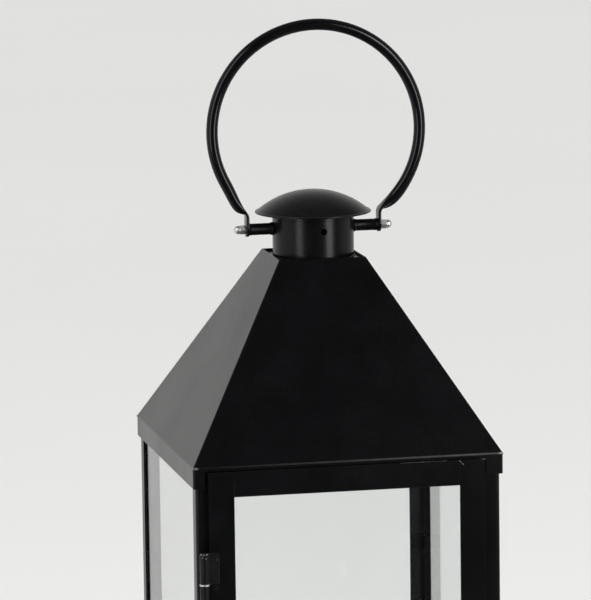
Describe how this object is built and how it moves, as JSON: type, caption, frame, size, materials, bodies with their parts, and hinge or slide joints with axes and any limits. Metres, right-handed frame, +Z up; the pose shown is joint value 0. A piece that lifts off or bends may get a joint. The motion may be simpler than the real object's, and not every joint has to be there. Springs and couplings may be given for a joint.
{
  "type": "candle lantern",
  "caption": "Square glazed candle lantern with a hinged front door, a pyramid roof with a round chimney and domed cap, and a swinging ring handle.",
  "frame": {"origin": "centre of the flat base, on the surface that the lantern stands on", "axes": "+Z up through the cap and ring; -Y is the front, where the glazed door is; +X to the right seen from the front"},
  "size_m": [0.28, 0.2953, 0.7982],
  "materials": {
    "black_paint": "satin black powder coat on sheet steel",
    "door_paint": "satin black powder coat on the door frame",
    "cap_paint": "satin black powder coat on the chimney and cap",
    "handle_paint": "semi-gloss black paint on bent tube",
    "fitting_paint": "black paint on small steel fittings",
    "clip_paint": "black paint on folded clips",
    "zinc_steel": "zinc-plated steel",
    "bright_plate": "bright zinc or nickel plate",
    "nylon": "black nylon washer",
    "glass": "clear float glass, 3 mm, ground edges"
  },
  "bodies": {
    "lantern": {"base_pan": "black_paint", "candle_plate": "black_paint", "candle_plate_rivet": "zinc_steel", "post_front_left": "black_paint", "post_front_right": "black_paint", "post_back_left": "black_paint", "post_back_right": "black_paint", "rail_top_front": "black_paint", "rail_top_back": "black_paint", "rail_top_left": "black_paint", "rail_top_right": "black_paint", "sill_front": "black_paint", "channel_back": "black_paint", "channel_left": "black_paint", "channel_right": "black_paint", "glass_left": "glass", "glass_right": "glass", "glass_back": "glass", "corner_clips_front": "clip_paint", "corner_clips_back": "clip_paint", "hinge_leaf_post_upper": "fitting_paint", "hinge_leaf_post_lower": "fitting_paint", "hinge_pins": "zinc_steel", "hinge_washers": "bright_plate", "roof_shell": "black_paint", "roof_top_plate": "black_paint", "chimney_collar": "cap_paint", "cap_sleeve": "cap_paint", "dome_cap": "cap_paint", "handle_rod": "zinc_steel", "spacer_left": "cap_paint", "spacer_right": "cap_paint", "cap_nut_left": "bright_plate", "cap_nut_right": "bright_plate"},
    "door": {"door_stile_hinge": "door_paint", "door_stile_latch": "door_paint", "door_rail_top": "door_paint", "door_rail_bottom": "door_paint", "door_glass": "glass", "door_glass_clips": "clip_paint", "hinge_leaf_door_upper": "fitting_paint", "hinge_leaf_door_lower": "fitting_paint", "latch_washer": "nylon"},
    "latch": {"latch_knob": "fitting_paint", "latch_spindle": "zinc_steel", "latch_tongue": "zinc_steel", "latch_nut": "zinc_steel"},
    "handle": {"ring_handle": "handle_paint"}
  },
  "joints": [
    {"name": "door_swing", "type": "hinge", "parent": "lantern", "child": "door", "pos_m": [-0.1316, -0.1423, 0.21], "axis": [0, 0, -1], "range_deg": [0, 170]},
    {"name": "latch_turn", "type": "hinge", "parent": "door", "child": "latch", "pos_m": [0.111, -0.1433, 0.212], "axis": [0, -1, 0], "range_deg": [0, 90]},
    {"name": "handle_swing", "type": "hinge", "parent": "lantern", "child": "handle", "pos_m": [0, 0, 0.6097], "axis": [1, 0, 0], "range_deg": [-135, 135]}
  ]
}
